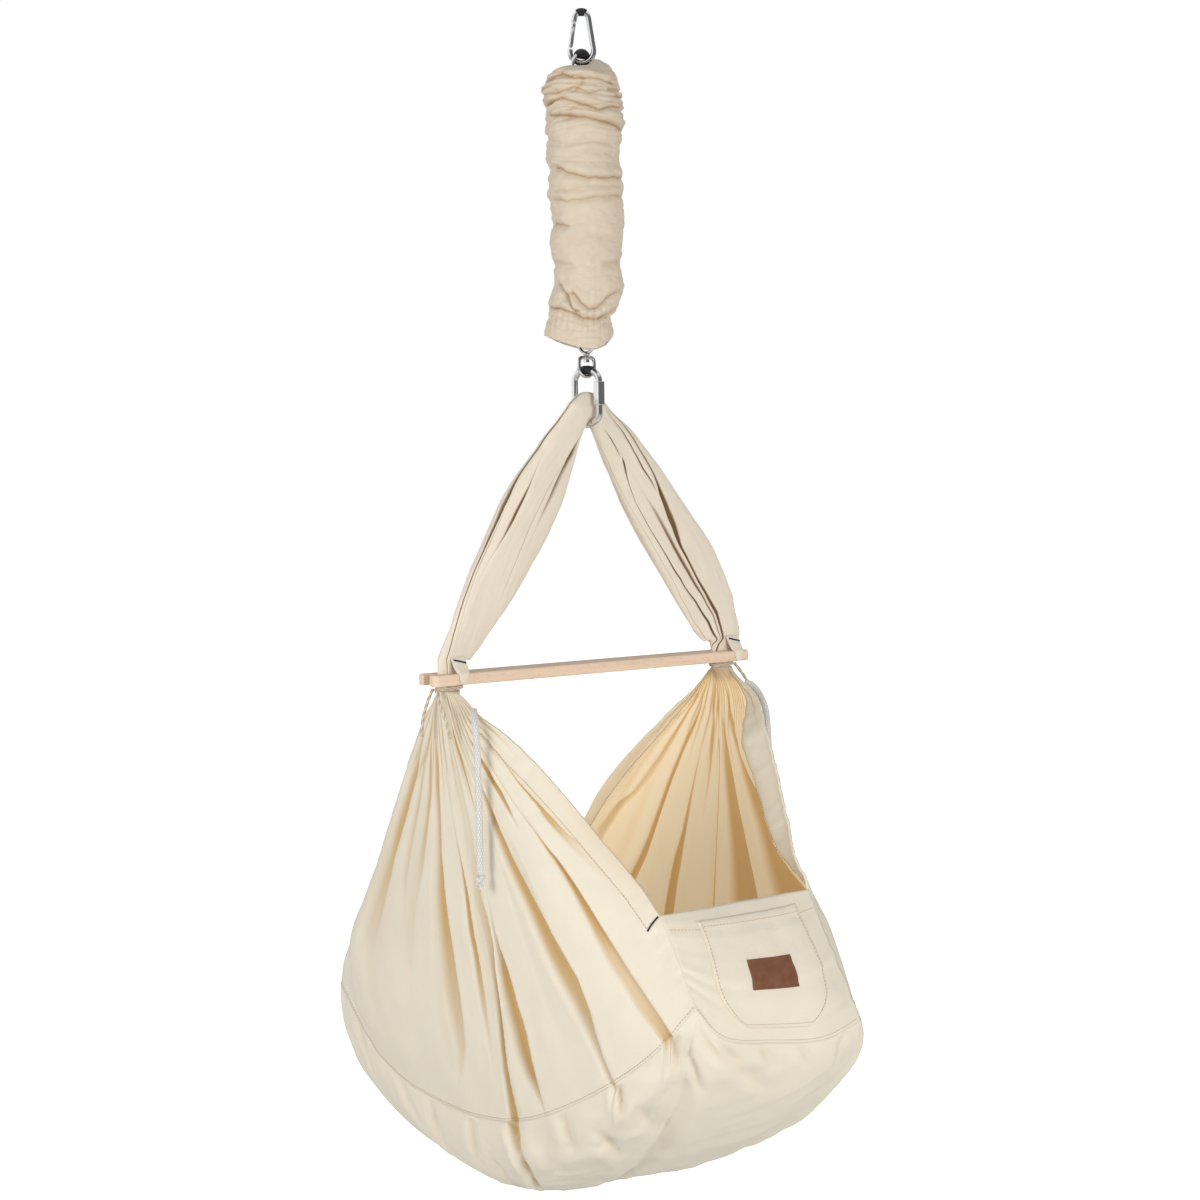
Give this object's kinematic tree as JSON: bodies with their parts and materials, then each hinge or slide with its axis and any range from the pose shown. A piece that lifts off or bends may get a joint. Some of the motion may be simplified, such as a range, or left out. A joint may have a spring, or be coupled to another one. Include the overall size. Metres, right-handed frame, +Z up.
{
  "type": "hanging baby cradle",
  "caption": "Cloth baby cradle on a forked spreader bar, hung by gathered straps, a quick link, a swivel, a covered extension spring and a snap hook.",
  "frame": {"origin": "where the ceiling hook bears, inside the top of the snap hook", "axes": "+Z up, +X along the spreader bar, -Y towards the end with the pocket"},
  "size_m": [0.5389, 0.8044, 1.6025],
  "materials": {
    "steel": "bright zinc-plated steel",
    "black_rubber": "black noise-damping sleeve",
    "canvas": "natural cotton canvas",
    "strap_canvas": "natural cotton canvas, gathered",
    "mattress_cover": "cotton mattress cover",
    "beech": "oiled beech",
    "leather": "plain brown leather",
    "cotton_cord": "braided cotton cord"
  },
  "bodies": {
    "hook": {"snap_hook_body": "steel", "snap_hook_sleeve": "black_rubber", "gate_pin": "steel"},
    "gate": {"snap_hook_gate": "steel"},
    "spring_head": {"upper_spring_eye": "steel", "upper_eye_sleeve": "black_rubber", "spring_coil": "steel", "spring_cover": "strap_canvas"},
    "spring_foot": {"lower_spring_eye": "steel", "lower_eye_sleeve": "black_rubber"},
    "swivel_top": {"swivel_ring": "steel", "swivel_rivet": "steel"},
    "swivel_low": {"swivel_bow": "steel"},
    "link": {"quick_link_body": "steel", "quick_link_sleeve": "black_rubber"},
    "link_nut": {"quick_link_nut": "steel"},
    "cradle": {"spreader_bar": "beech", "left_strap": "strap_canvas", "right_strap": "strap_canvas", "left_tab": "strap_canvas", "right_tab": "strap_canvas", "left_neck_tie": "cotton_cord", "right_neck_tie": "cotton_cord", "left_side_wall": "canvas", "right_side_wall": "canvas", "front_end_panel": "canvas", "back_end_panel": "canvas", "front_pocket": "canvas", "leather_patch": "leather", "base_panel": "canvas", "mattress": "mattress_cover", "left_tie_tail": "cotton_cord", "left_near_tie_tail": "cotton_cord", "right_tie_tail": "cotton_cord", "left_drawcord": "cotton_cord", "right_drawcord": "cotton_cord", "left_drawcord_knot": "cotton_cord", "right_drawcord_knot": "cotton_cord"}
  },
  "joints": [
    {"name": "gate_hinge", "type": "hinge", "parent": "hook", "child": "gate", "pos_m": [-0.01175, 0.00854, -0.03714], "axis": [0.5878, 0.809, 0], "range_deg": [0, 16], "stiffness_Nm_per_rad": 0.1, "springref_deg": -17.19},
    {"name": "spring_swing", "type": "hinge", "parent": "hook", "child": "spring_head", "pos_m": [0, 0, -0.06225], "axis": [0.809, -0.5878, 0], "range_deg": [-20, 20]},
    {"name": "spring_stretch", "type": "slide", "parent": "spring_head", "child": "spring_foot", "axis": [0, 0, -1], "range_m": [0, 0.25], "stiffness_N_per_m": 300, "springref_m": -0.15, "deforming": ["spring_coil", "spring_cover"]},
    {"name": "ring_swing", "type": "hinge", "parent": "spring_foot", "child": "swivel_top", "pos_m": [0, 0, -0.4332], "axis": [0.9455, 0.3256, 0], "range_deg": [-20, 20]},
    {"name": "swivel_turn", "type": "hinge", "parent": "swivel_top", "child": "swivel_low", "pos_m": [0, 0, -0.455], "axis": [0, 0, 1], "continuous": true},
    {"name": "link_tilt", "type": "hinge", "parent": "swivel_low", "child": "link", "pos_m": [0, 0, -0.4807], "axis": [1, 0, 0], "range_deg": [-20, 20]},
    {"name": "nut_travel", "type": "slide", "parent": "link", "child": "link_nut", "axis": [0, 0, -1], "range_m": [0, 0.0105]},
    {"name": "cradle_tilt", "type": "hinge", "parent": "link", "child": "cradle", "pos_m": [0, 0, -0.5456], "axis": [0.3256, -0.9455, 0], "range_deg": [-10, 10]}
  ]
}
